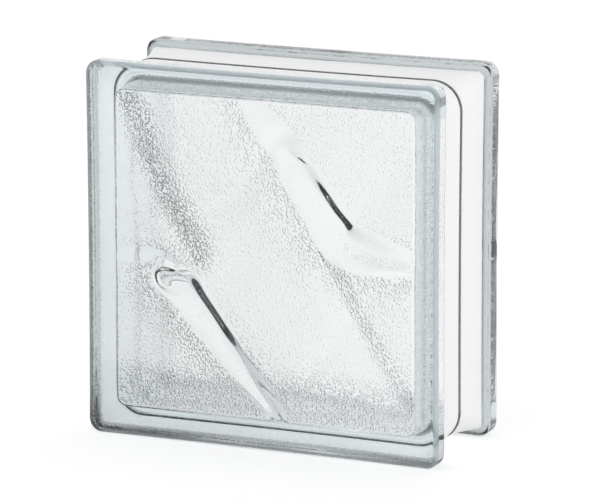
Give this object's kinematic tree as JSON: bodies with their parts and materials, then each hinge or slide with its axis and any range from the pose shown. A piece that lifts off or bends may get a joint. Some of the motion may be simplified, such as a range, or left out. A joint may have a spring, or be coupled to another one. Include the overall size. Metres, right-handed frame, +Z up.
{
  "type": "glass block",
  "caption": "Square hollow glass block for walls, with wavy panes, a lip round each face and a mortar channel round its edge.",
  "frame": {"origin": "middle of the underside, level with the edges of the two lips the block stands on", "axes": "+X along the wall, +Y through the block from the front face to the back, +Z up"},
  "size_m": [0.19, 0.08, 0.19],
  "materials": {
    "clear_glass": "clear pressed glass, smooth outside, rippled and stippled inside"
  },
  "bodies": {
    "root": {"front_shell": "clear_glass", "back_shell": "clear_glass"}
  },
  "joints": []
}
